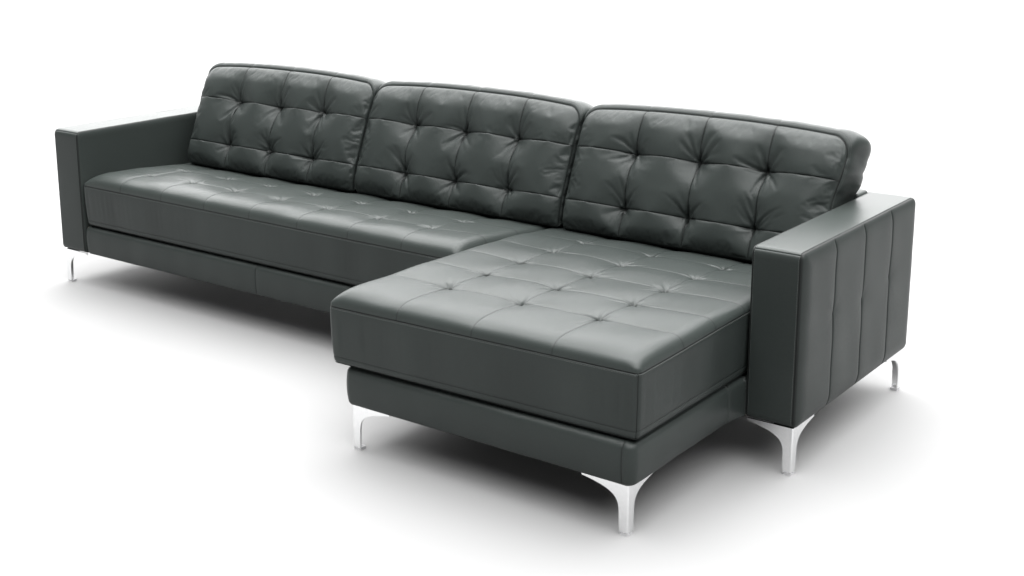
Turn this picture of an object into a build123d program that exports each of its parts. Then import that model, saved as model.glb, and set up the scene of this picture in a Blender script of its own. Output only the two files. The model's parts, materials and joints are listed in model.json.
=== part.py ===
from build123d import *
import os
import math

os.makedirs("parts", exist_ok=True)

# ---------------------------------------------------------------------------
# Tufted sectional sofa: a bench module with the left arm, a chaise module with
# the right arm, and three loose back cushions.  Millimetres.
# Design axes: x = 0 on the left arm's outer face, y = 0 on the arms' front
# plane (negative towards the chaise's front), z = 0 on the floor.
# ---------------------------------------------------------------------------
WIDTH = 3250.0            # over both arms
ARM_W = 155.0
ARM_TOP = 640.0
ARM_DEPTH = 850.0
LEG_H = 140.0             # floor to the underside of the frames
BASE_TOP = 254.0
RAIL_TOP = 250.0
RAIL_T = 35.0
SKIN = 2.0                # leather with its lining
JACKET = 20.0             # foam jacket over the frames

BENCH_X0, BENCH_X1 = 157.0, 2076.0
BENCH_BASE_X1 = 2118.0
BENCH_BASE_Y0 = 15.0
SEAT_BOTTOM = 262.0
SEAT_REAR = 640.0

CHAISE_X0, CHAISE_X1 = 2079.0, 3092.0
CHAISE_FRONT = -600.0
CHAISE_BASE_X0, CHAISE_BASE_X1 = 2124.0, 3072.0
CHAISE_BASE_Y0 = -572.0
BASE_CORNER = 16.0        # radius of the chaise base's front corners

BACK_TOP = 642.0
BACK_REAR = 850.0
RECLINE = 22.0            # back cushions' lean, degrees
CUSHION_W = 950.0
CUSHION_X0 = [222.0, 1177.0, 2139.0]
CUSHION_T = 180.0

LEG_PLATE = 28.0          # width of each side of the angle leg
LEG_T = 5.0
LEG_WING = 140.0
LEG_INSET = 10.0
GLIDE_H = 8.0

SHIFT = Location((-WIDTH / 2, -(CHAISE_FRONT + BACK_REAR) / 2, 0))


# ------------------------------------------------------------------ helpers
def bx(x0, x1, y0, y1, z0, z1):
    return Pos((x0 + x1) / 2, (y0 + y1) / 2, (z0 + z1) / 2) * Box(x1 - x0, y1 - y0, z1 - z0)


def cyl(x, y, z0, z1, r):
    return Pos(x, y, (z0 + z1) / 2) * Cylinder(r, z1 - z0)


def cyl_x(x0, x1, y, z, r):
    return Pos((x0 + x1) / 2, y, z) * Rot(0, 90, 0) * Cylinder(r, x1 - x0)


def prism(pts, x0, x1):
    """Solid with the (y, z) outline pts, from x0 to x1."""
    face = make_face(Polyline(*[(x0, y, z) for y, z in pts], close=True))
    return extrude(face, amount=x1 - x0, dir=(1, 0, 0))


def plan_prism(pts, z0, z1):
    face = make_face(Polyline(*[(x, y, z0) for x, y in pts], close=True))
    return extrude(face, amount=z1 - z0, dir=(0, 0, 1))


def inset(pts, d):
    """The convex or stepped outline pts moved inwards by d on every side."""
    n = len(pts)
    area = sum(pts[i][0] * pts[(i + 1) % n][1] - pts[(i + 1) % n][0] * pts[i][1] for i in range(n))
    s = 1.0 if area > 0 else -1.0
    lines = []
    for i in range(n):
        (x0, y0), (x1, y1) = pts[i], pts[(i + 1) % n]
        l = math.hypot(x1 - x0, y1 - y0)
        nx, ny = -(y1 - y0) / l * s, (x1 - x0) / l * s
        lines.append((x0 + nx * d, y0 + ny * d, (x1 - x0) / l, (y1 - y0) / l))
    out = []
    for i in range(n):
        ax, ay, adx, ady = lines[i - 1]
        bx_, by_, bdx, bdy = lines[i]
        den = adx * bdy - ady * bdx
        t = ((bx_ - ax) * bdy - (by_ - ay) * bdx) / den
        out.append((ax + adx * t, ay + ady * t))
    return out


def write(name, *shapes):
    solids = []
    for s in shapes:
        solids += list(s.solids())
    solids = [s.moved(SHIFT) for s in solids]
    export_step(solids[0] if len(solids) == 1 else Compound(children=solids), f"parts/{name}.step")


def round_x(shape, r):
    return fillet(shape.edges().filter_by(Axis.X), r)


def round_corners(shape, points, r):
    """Rounds the upright edges that stand at the plan points."""
    up = [e for e in shape.edges().filter_by(Axis.Z)
          if any(abs(e.center().X - x) < 0.1 and abs(e.center().Y - y) < 0.1 for x, y in points)]
    return fillet(up, r)


# ------------------------------------------------------------- screws, bolts
def wood_screw(x, y, top=LEG_H - 4.0, length=30.0):
    """Pan head under a plate whose underside is at top, shank upwards."""
    return cyl(x, y, top - 2.6, top, 4.2) + cyl(x, y, top, top + length, 2.0)


def screw_hole(x, y, z0, z1):
    return cyl(x, y, z0, z1, 2.2)


SOFA_SCREWS = []          # (x, y, underside of the plate)
CHAISE_SCREWS = []


# --------------------------------------------------------------------- legs
def leg_profile(at):
    """Outline of one side of the leg: a flat post that flares into a wing."""
    p = lambda s, z: at(s, z)
    return make_face([
        Line(p(0, GLIDE_H), p(LEG_PLATE - 2, GLIDE_H)),
        Line(p(LEG_PLATE - 2, GLIDE_H), p(LEG_PLATE, 66)),
        Bezier(p(LEG_PLATE, 66), p(LEG_PLATE + 1.5, 103), p(50, 119), p(LEG_WING, 132)),
        Line(p(LEG_WING, 132), p(LEG_WING, LEG_H)),
        Line(p(LEG_WING, LEG_H), p(0, LEG_H)),
        Line(p(0, LEG_H), p(0, GLIDE_H)),
    ])


LEG_HOLES = [(20, 30), (20, 52), (30, 20), (52, 20)]


def corner_leg():
    a = extrude(leg_profile(lambda s, z: (s, 0, z)), amount=LEG_T, dir=(0, 1, 0))
    b = extrude(leg_profile(lambda s, z: (0, s, z)), amount=LEG_T, dir=(1, 0, 0))
    leg = a + b + bx(0, 62, 0, 62, LEG_H - 4, LEG_H)
    corner = [e for e in leg.edges().filter_by(Axis.Z) if abs(e.center().X) < 0.1 and abs(e.center().Y) < 0.1]
    leg = fillet(corner, 3.0)
    return leg - [screw_hole(x, y, LEG_H - 6, LEG_H + 2) for x, y in LEG_HOLES]


LEG = corner_leg()
GLIDE = bx(0.5, LEG_PLATE - 2.5, 0.5, LEG_PLATE - 2.5, 0, GLIDE_H)
GLIDE = fillet(GLIDE.edges().filter_by(Axis.Z), 3.0)


def place(shape, x, y, turn):
    return Pos(x, y, 0) * Rot(0, 0, turn) * shape


def turned(px, py, x, y, turn):
    a = math.radians(turn)
    return x + px * math.cos(a) - py * math.sin(a), y + px * math.sin(a) + py * math.cos(a)


i = LEG_INSET
SOFA_LEGS = {"leg_left_front": (i, i, 0), "leg_left_rear": (i, ARM_DEPTH - i, 270)}
CHAISE_LEGS = {
    "leg_chaise_front_left": (CHAISE_BASE_X0 + i, CHAISE_BASE_Y0 + i, 0),
    "leg_chaise_front_right": (CHAISE_BASE_X1 - i, CHAISE_BASE_Y0 + i, 90),
    "leg_right_front": (WIDTH - i, i, 90),
    "leg_right_rear": (WIDTH - i, ARM_DEPTH - i, 180),
}
sofa_glides, chaise_glides = [], []
for legs, glides, screws in ((SOFA_LEGS, sofa_glides, SOFA_SCREWS), (CHAISE_LEGS, chaise_glides, CHAISE_SCREWS)):
    for name, (x, y, turn) in legs.items():
        write(name, place(LEG, x, y, turn))
        glides.append(place(GLIDE, x, y, turn))
        for hx, hy in LEG_HOLES:
            screws.append(turned(hx, hy, x, y, turn) + (LEG_H - 4.0,))

# plain tapered posts where the modules meet and under the long bench
SUPPORT_FLANGE = 40.0


def support_leg(x, y):
    post = loft([Pos(x, y, 6) * Circle(15), Pos(x, y, LEG_H - 4) * Circle(24)])
    flange = bx(x - SUPPORT_FLANGE, x + SUPPORT_FLANGE, y - SUPPORT_FLANGE, y + SUPPORT_FLANGE, LEG_H - 4, LEG_H)
    return post + flange


SOFA_SUPPORTS = [(1137.5, 430.0), (2074.0, 330.0), (2074.0, 796.0)]
CHAISE_SUPPORTS = [(2170.0, 796.0)]


def support_screws(x, y):
    k = SUPPORT_FLANGE - 6
    return [(x + sx * k, y + sy * k) for sx, sy in ((-1, 0), (1, 0), (0, -1), (0, 1))]


def build_supports(points, screws, glides, keep):
    out = []
    for x, y in points:
        leg = support_leg(x, y)
        for hx, hy in support_screws(x, y):
            if keep(hx, hy):
                leg = leg - screw_hole(hx, hy, LEG_H - 6, LEG_H + 2)
                screws.append((hx, hy, LEG_H - 4.0))
        out.append(leg)
        glides.append(cyl(x, y, 0, 6, 16))
    return out


# ---------------------------------------------------------------- base rails
R0, R1 = LEG_H + 2, RAIL_TOP
BX0, BX1 = BENCH_X0 + 3, BENCH_BASE_X1 - 2.5
BY0, BY1 = BENCH_BASE_Y0 + 2.5, BACK_REAR - 4.5
CX0, CX1 = CHAISE_BASE_X0 + 2.5, CHAISE_BASE_X1 - 2.5
CY0 = CHAISE_BASE_Y0 + 2.5
LOW = 225.0               # top of the rails that run under the springs

sofa_front_rail = bx(BX0, BX1, BY0, BY0 + RAIL_T, R0, R1)
sofa_rear_rail = bx(BX0, BX1, BY1 - RAIL_T, BY1, R0, R1)
ya, yb = BY0 + RAIL_T, BY1 - RAIL_T
MID_RAILS = [640.0, 1122.5, 1605.0]
sofa_cross = [bx(BX0, BX0 + RAIL_T, ya, yb, R0, R1), bx(BX1 - RAIL_T, BX1, ya, yb, R0, R1)]
sofa_cross += [bx(x, x + 30, ya, yb, R0, LOW) for x in MID_RAILS]
sofa_cross += [bx(BX0 + RAIL_T, BX1 - RAIL_T, 655, 690, LOW, R1)]

FRONT_CORNERS = [(CX0, CY0), (CX1, CY0)]
chaise_front_rail = round_corners(bx(CX0, CX1, CY0, CY0 + RAIL_T, R0, R1), FRONT_CORNERS, BASE_CORNER - 2.5)
chaise_rear_rail = bx(CX0, CX1, BY1 - RAIL_T, BY1, R0, R1)
ca = CY0 + RAIL_T
chaise_sides = [bx(CX0, CX0 + RAIL_T, ca, yb, R0, R1), bx(CX1 - RAIL_T, CX1, ca, yb, R0, R1)]
PACKERS = [(20.0, 180.0), (600.0, 760.0)]
chaise_sides += [bx(CX1, WIDTH - ARM_W - 4.5, p0, p1, R0, R1) for p0, p1 in PACKERS]
chaise_sides += [bx(CX0 + RAIL_T, CX1 - RAIL_T, y, y + 30, R0, LOW) for y in (-190.0, 160.0, 520.0)]
chaise_sides += [bx(CX0 + RAIL_T, CX1 - RAIL_T, 665, 700, LOW, R1)]

sofa_support_legs = build_supports(
    SOFA_SUPPORTS, SOFA_SCREWS, sofa_glides,
    lambda x, y: (MID_RAILS[1] < x < MID_RAILS[1] + 30) or x > BX1 - RAIL_T + 3 or y > yb + 3)
SOFA_SCREWS[:] = [s for s in SOFA_SCREWS if s[0] < BX1 - 3 and s[1] < BY1 - 3]
chaise_support_leg = build_supports(
    CHAISE_SUPPORTS, CHAISE_SCREWS, chaise_glides,
    lambda x, y: CX0 + 3 < x < CX0 + RAIL_T - 3 and y < yb - 3 or y > yb + 3)

# ------------------------------------------------------ module connectors
# Flat tongues under the chaise's left rail slide sideways into channels under
# the bench's right rail.
CONNECT_Y = [170.0, 600.0]
channels, tongues = [], []
for y in CONNECT_Y:
    ch = bx(2036, 2114, y - 40, y + 40, 126, LEG_H)
    ch = ch - bx(2042, 2120, y - 32, y + 32, 130, 137)
    cs = [(2100.0, y - 36.0), (2100.0, y + 36.0), (2090.0, y - 36.0), (2090.0, y + 36.0)][:2]
    for hx, hy in cs:
        ch = ch - screw_hole(hx, hy, 120, LEG_H + 2)
        SOFA_SCREWS.append((hx, hy, 126.0))
    channels.append(ch)
    to = bx(2048, 2196, y - 30, y + 30, 131.5, 135.5) + bx(2130, 2196, y - 30, y + 30, 135.5, LEG_H)
    tip = [e for e in to.edges().filter_by(Axis.Z) if abs(e.center().X - 2048) < 0.1]
    to = chamfer(tip, 12)
    for hx, hy in [(2144.0, y - 20.0), (2144.0, y + 20.0)]:
        to = to - screw_hole(hx, hy, 125, LEG_H + 2)
        CHAISE_SCREWS.append((hx, hy, 131.5))
    tongues.append(to)


def screw_set(points):
    return [wood_screw(x, y, t, LEG_H - t + 28.0) for x, y, t in points]


def drill(shape, points):
    """Pilot holes for the screws that pass through shape."""
    b = shape.bounding_box()
    near = [screw_hole(x, y, t - 4, LEG_H + 30) for x, y, t in points
            if b.min.X - 3 < x < b.max.X + 3 and b.min.Y - 3 < y < b.max.Y + 3]
    return shape - near if near else shape


# --------------------------------------------------------------- arm bolts
BOLT_Z = 158.0
BOLT_Y = [105.0, 680.0]


def bolt(x_head, x_tip, y):
    s = 1 if x_tip > x_head else -1
    head = cyl_x(*sorted((x_head - 6 * s, x_head)), y, BOLT_Z, 7)
    return head + cyl_x(*sorted((x_head, x_tip)), y, BOLT_Z, 4)


left_bolts = [bolt(BX0 + RAIL_T, 96, y) for y in BOLT_Y]
right_bolts = [bolt(CX1 - RAIL_T, WIDTH - 96, y) for y in BOLT_Y]
left_bores = [cyl_x(94, BX0 + RAIL_T + 10, y, BOLT_Z, 4.2) for y in BOLT_Y]
right_bores = [cyl_x(CX1 - RAIL_T - 10, WIDTH - 94, y, BOLT_Z, 4.2) for y in BOLT_Y]

SA, CA = SOFA_SCREWS, CHAISE_SCREWS
write("sofa_front_rail", drill(sofa_front_rail, SA))
write("sofa_rear_rail", drill(sofa_rear_rail, SA))
write("sofa_cross_rails", *[drill(s - left_bores, SA) for s in sofa_cross])
write("chaise_front_rail", drill(chaise_front_rail, CA))
write("chaise_rear_rail", drill(chaise_rear_rail, CA))
write("chaise_side_rails", *[drill(s - right_bores, CA) for s in chaise_sides])
write("sofa_support_legs", *sofa_support_legs)
write("chaise_support_leg", *chaise_support_leg)
write("sofa_leg_glides", *sofa_glides)
write("chaise_leg_glides", *chaise_glides)
write("sofa_screws", *screw_set(SA))
write("chaise_screws", *screw_set(CA))
write("connector_channels", *channels)
write("connector_tongues", *tongues)
write("left_arm_bolts", *left_bolts)
write("right_arm_bolts", *right_bolts)

# --------------------------------------------------------- base skins, linings
sofa_base_cover = bx(BENCH_X0, BENCH_BASE_X1, BENCH_BASE_Y0, BACK_REAR - 2, LEG_H, BASE_TOP) \
    - bx(BENCH_X0 - 5, BENCH_BASE_X1 - 2.5, BENCH_BASE_Y0 + 2.5, BACK_REAR - 4.5, LEG_H - 5, BASE_TOP + 5)
write("sofa_base_cover", sofa_base_cover)
plan = [(CHAISE_BASE_X0, CHAISE_BASE_Y0), (CHAISE_BASE_X1, CHAISE_BASE_Y0), (CHAISE_BASE_X1, 3.0),
        (WIDTH - ARM_W - 2, 3.0), (WIDTH - ARM_W - 2, BACK_REAR - 2), (CHAISE_BASE_X0, BACK_REAR - 2)]
chaise_base_cover = round_corners(plan_prism(plan, LEG_H, BASE_TOP), plan[:2], BASE_CORNER) \
    - round_corners(plan_prism(inset(plan, 2.5), LEG_H - 5, BASE_TOP + 5), FRONT_CORNERS, BASE_CORNER - 2.5)
write("chaise_base_cover", chaise_base_cover - right_bores)
write("sofa_dust_cover", drill(bx(BX0, BX1, BY0, BY1, LEG_H, R0), SA))
write("chaise_dust_cover",
      drill(round_corners(bx(CX0, CX1, CY0, BY1, LEG_H, R0), FRONT_CORNERS, BASE_CORNER - 2.5), CA))


# --------------------------------------------------------------------- arms
def arm(x0, bores, screws):
    x1 = x0 + ARM_W

    def block(k, bottom, r):
        b = bx(x0 + k, x1 - k, k, ARM_DEPTH - k, bottom, ARM_TOP - k)
        return fillet([e for e in b.edges() if e.center().Z > bottom + 1], r)

    low = LEG_H + SKIN
    outer, inner = block(0, LEG_H, 20), block(SKIN, low, 18)
    cover = drill(outer - inner, screws)
    f0, f1, g0, g1, top = x0 + 22, x1 - 22, 22.0, ARM_DEPTH - 22.0, ARM_TOP - 22.0
    foam = inner - bx(f0, f1, g0, g1, LEG_H - 5, top)
    frame = [
        bx(f0, f1, g0, g0 + 40, low, top), bx(f0, f1, g1 - 40, g1, low, top),
        bx(f0, f1, g0 + 40, g1 - 40, top - 30, top), bx(f0, f1, g0 + 40, g1 - 40, low, LEG_H + 38),
        bx(f0 + 4, f1 - 4, g0 + 40, g1 - 40, 380, 410),
        bx(f0, f0 + 4, g0 + 40, g1 - 40, LEG_H + 38, top - 30),
        bx(f1 - 4, f1, g0 + 40, g1 - 40, LEG_H + 38, top - 30),
    ]
    return cover - bores, foam - bores, [drill(s - bores, screws) for s in frame]


for side, x0, bores, screws in (("left", 0.0, left_bores, SA), ("right", WIDTH - ARM_W, right_bores, CA)):
    cover, foam, frame = arm(x0, bores, screws)
    write(f"{side}_arm_cover", cover)
    write(f"{side}_arm_foam", foam)
    write(f"{side}_arm_frame", *frame)

# -------------------------------------------------------------------- seats
bench_outline = [(2, SEAT_BOTTOM), (SEAT_REAR, SEAT_BOTTOM), (SEAT_REAR, 430), (150, 470), (50, 466), (2, 430)]
chaise_outline = [(CHAISE_FRONT, SEAT_BOTTOM), (SEAT_REAR, SEAT_BOTTOM), (SEAT_REAR, 430), (150, 468),
                  (-450, 477), (-550, 472), (CHAISE_FRONT, 434)]
BENCH_TUFTS = [(BENCH_X0 + (BENCH_X1 - BENCH_X0) * k / 8, y) for y in (165.0, 343.0) for k in range(1, 8)]
CHAISE_TUFTS = [(CHAISE_X0 + (CHAISE_X1 - CHAISE_X0) * k / 4, y)
                for y in (-365.0, -186.0, -7.0, 172.0, 351.0) for k in (1, 2, 3)]


def seat(outline, x0, x1, tufts):
    outer = round_x(prism(outline, x0, x1), 12)
    inner = round_x(prism(inset(outline, SKIN), x0 + SKIN, x1 - SKIN), 10)
    cover = outer - inner
    foam = inner - [cyl(x, y, SEAT_BOTTOM - 5, 520, 12) for x, y in tufts]
    ties = []
    for x, y in tufts:
        ties.append(cyl(x, y, SEAT_BOTTOM + 4, SEAT_BOTTOM + 7, 11) + cyl(x, y, SEAT_BOTTOM + 7, 418, 1.5)
                    + cyl(x, y, 418, 421, 8))
    return cover, foam, ties


for name, outline, x0, x1, tufts in (("sofa", bench_outline, BENCH_X0, BENCH_X1, BENCH_TUFTS),
                                     ("chaise", chaise_outline, CHAISE_X0, CHAISE_X1, CHAISE_TUFTS)):
    cover, foam, ties = seat(outline, x0, x1, tufts)
    write(f"{name}_seat_cover", cover)
    write(f"{name}_seat_foam", foam)
    write(f"{name}_seat_tuft_ties", *ties)


# ------------------------------------------- elastic seat webbing, end clips
STRAP_W, STRAP_T = 60.0, 2.0


def clip(x, y, turn):
    """Folded steel clip, 64 mm wide, over a strap's end on top of a rail."""
    c = bx(-3, 14, -32, 32, RAIL_TOP, RAIL_TOP + 4.4) - bx(-1, 20, -31, 31, RAIL_TOP - 1, RAIL_TOP + 3.0)
    return Pos(x, y, 0) * Rot(0, 0, turn) * c


def webbing(along, across):
    """Straps front to back, and straps side to side lying on them."""
    y0, y1, xs = along
    x0, x1, ys = across
    straps = [bx(x - STRAP_W / 2, x + STRAP_W / 2, y0, y1, RAIL_TOP, RAIL_TOP + STRAP_T) for x in xs]
    straps += [bx(x0, x1, y - STRAP_W / 2, y + STRAP_W / 2, RAIL_TOP + STRAP_T, RAIL_TOP + 2 * STRAP_T) for y in ys]
    clips = [clip(x, y0, 90) for x in xs] + [clip(x, y1, 270) for x in xs]
    return straps, clips


xs = [195 + (2080 - 195) * (k + 0.5) / 14 for k in range(14)]
straps, clips = webbing((BY0 + 12, 680.0, xs), (BX0 + 12, BX1 - 12, [130.0, 260.0, 390.0, 520.0]))
write("sofa_seat_webbing", *straps)
write("sofa_webbing_clips", *clips)
xs = [CX0 + RAIL_T + 20 + (CX1 - CX0 - 2 * RAIL_T - 40) * (k + 0.5) / 7 for k in range(7)]
straps, clips = webbing((CY0 + 12, BY1 - 152, xs), (CX0 + 12, CX1 - 12, [-440 + 130.0 * k for k in range(9)]))
write("chaise_seat_webbing", *straps)
write("chaise_webbing_clips", *clips)

# --------------------------------------------------------------------- backs
back_outline = [(692, 256), (BACK_REAR, 256), (BACK_REAR, BACK_TOP), (764, BACK_TOP)]


def front_y(z, d=0.0):
    """The back's leaning front face, moved d inwards."""
    (y0, z0), (y1, z1) = back_outline[0], back_outline[3]
    return y0 + (z - z0) * (y1 - y0) / (z1 - z0) + d


for name, x0, x1, ribs in (("sofa", BENCH_X0, BENCH_BASE_X1 + 4, 5), ("chaise", CHAISE_BASE_X0 + 4, WIDTH - ARM_W - 2, 3)):
    outer = round_x(prism(back_outline, x0, x1), 10)
    inner = round_x(prism(inset(back_outline, SKIN), x0 + SKIN, x1 - SKIN), 8)
    cover = outer - inner - bx(x0 + 8, x1 - 8, 706, BACK_REAR - 6, 240, 300)
    hollow = [(front_y(200, JACKET), 200), (BACK_REAR + 5, 200), (BACK_REAR + 5, BACK_TOP - JACKET),
              (front_y(BACK_TOP - JACKET, JACKET), BACK_TOP - JACKET)]
    foam = inner - prism(hollow, x0 - 5, x1 + 5)
    write(f"{name}_back_cover", cover)
    write(f"{name}_back_foam", foam)
    a, b, rear = x0 + 14, x1 - 14, BACK_REAR - 8
    z0, z1, z2, z3 = RAIL_TOP, RAIL_TOP + 28, BACK_TOP - JACKET - 30, BACK_TOP - JACKET - 2
    d = JACKET + 4
    frame = [bx(a, b, front_y(z1, d), rear, z0, z1), bx(a, b, front_y(z3, d), rear, z2, z3)]
    for k in range(ribs):
        x = a + (b - a - 20) * k / (ribs - 1)
        frame.append(prism([(front_y(z1, d), z1), (rear, z1), (rear, z2), (front_y(z2, d), z2)], x, x + 20))
    write(f"{name}_back_frame", *frame)
    straps = []
    for k in range(5):
        s = z1 + 22 + k * 56
        straps.append(prism([(front_y(s, d - 2.5), s), (front_y(s, d), s), (front_y(s + 42, d), s + 42),
                             (front_y(s + 42, d - 2.5), s + 42)], a, b))
    write(f"{name}_back_webbing", *straps)

# ------------------------------------------------------------- back cushions
lean = math.tan(math.radians(RECLINE))
c22, s22 = math.cos(math.radians(RECLINE)), math.sin(math.radians(RECLINE))
TUFT_Y, TUFT_Z = 545.0, 533.0          # lower tuft row
FRONT = 25.0                           # crown in front of the tufts
fy = lambda z: TUFT_Y - FRONT / c22 + (z - TUFT_Z) * lean
ry = lambda z: fy(z) + CUSHION_T / c22
top_z = 849.0
d_top = (fy(top_z), top_z)
c_top = (d_top[0] + CUSHION_T * c22, top_z - CUSHION_T * s22)
cushion_outline = [(fy(452), 452), (ry(439), 439), c_top, d_top]
ROWS = [0.0, 185.0]                    # tuft rows, along the slope


def cushion(x0):
    x1 = x0 + CUSHION_W

    def slab(k, r):
        s = prism(inset(cushion_outline, k) if k else cushion_outline, x0 + k, x1 - k)
        return fillet(s.edges(), r)

    outer, inner = slab(0, 28), slab(SKIN, 26)
    foam, ties = inner, []
    for k in (1, 2, 3):
        for row in ROWS:
            x = x0 + CUSHION_W * k / 4
            base = Pos(x, TUFT_Y + row * s22, TUFT_Z + row * c22) * Rot(-(90 - RECLINE), 0, 0)
            foam = foam - base * Pos(0, 0, 60) * Cylinder(12, 400)
            tie = Pos(0, 0, 70) * Cylinder(1.5, 134) + Pos(0, 0, 1.5) * Cylinder(8, 3) + Pos(0, 0, 138.5) * Cylinder(11, 3)
            ties.append(base * tie)
    return outer - inner, foam, ties


for side, x0 in zip(("left", "centre", "right"), CUSHION_X0):
    cover, foam, ties = cushion(x0)
    write(f"{side}_cushion_cover", cover)
    write(f"{side}_cushion_foam", foam)
    write(f"{side}_cushion_tuft_ties", *ties)
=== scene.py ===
import json
import math

import bmesh
import bpy
import numpy as np
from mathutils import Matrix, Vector


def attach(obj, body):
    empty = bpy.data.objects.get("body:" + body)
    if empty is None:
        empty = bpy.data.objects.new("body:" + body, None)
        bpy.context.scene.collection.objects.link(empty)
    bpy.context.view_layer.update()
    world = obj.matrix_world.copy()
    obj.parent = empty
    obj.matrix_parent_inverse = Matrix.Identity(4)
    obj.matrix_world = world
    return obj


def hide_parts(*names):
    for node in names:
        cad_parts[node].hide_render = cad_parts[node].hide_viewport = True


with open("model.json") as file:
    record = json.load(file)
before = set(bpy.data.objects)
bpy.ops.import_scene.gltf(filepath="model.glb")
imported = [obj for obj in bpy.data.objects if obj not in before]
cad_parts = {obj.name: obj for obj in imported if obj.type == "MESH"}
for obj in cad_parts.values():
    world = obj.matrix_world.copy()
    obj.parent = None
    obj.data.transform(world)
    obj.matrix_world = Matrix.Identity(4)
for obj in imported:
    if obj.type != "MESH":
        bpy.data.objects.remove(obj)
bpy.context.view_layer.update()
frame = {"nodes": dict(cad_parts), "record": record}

rng = np.random.default_rng(20)

# Row frame, metres.  D(x, y) turns the design plan (x from the left arm's
# outer face, y from the arms' front plane, in mm) into it.
def D(x, y, z=0.0):
    return np.array([x / 1000 - 1.625, y / 1000 - 0.125, z / 1000])


# =====================================================================
# camera
# =====================================================================
def add_camera():
    pos = Vector(D(4664.8, -3249.0, 1589.9))
    yaw, pitch, f = math.radians(36.1357), math.radians(13.0518), 1352.55
    fwd = Vector((-math.sin(yaw) * math.cos(pitch), math.cos(yaw) * math.cos(pitch), -math.sin(pitch)))
    cam = bpy.data.cameras.new("camera")
    cam.sensor_fit = "HORIZONTAL"
    cam.sensor_width = 36.0
    cam.lens = f / 1024 * 36.0
    cam.shift_x = 0.0
    cam.shift_y = (200.0 - 288.0) / 1024
    cam.clip_end = 100
    ob = bpy.data.objects.new("camera", cam)
    ob.location = pos
    ob.rotation_euler = fwd.to_track_quat("-Z", "Y").to_euler()
    bpy.context.collection.objects.link(ob)
    bpy.context.scene.camera = ob


add_camera()


# =====================================================================
# materials
# =====================================================================
def new_mat(name):
    m = bpy.data.materials.new(name)
    m.use_nodes = True
    nt = m.node_tree
    b = nt.nodes["Principled BSDF"]
    return m, nt, b


def link(nt, a, b):
    nt.links.new(a, b)


def node(nt, kind, **inputs):
    n = nt.nodes.new(kind)
    for k, v in inputs.items():
        n.inputs[k.replace("_", " ")].default_value = v
    return n


def ramp(nt, stops):
    n = nt.nodes.new("ShaderNodeValToRGB")
    e = n.color_ramp.elements
    e[0].position, e[0].color = stops[0][0], (*stops[0][1], 1)
    e[1].position, e[1].color = stops[-1][0], (*stops[-1][1], 1)
    for p, c in stops[1:-1]:
        x = e.new(p)
        x.color = (*c, 1)
    return n


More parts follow.
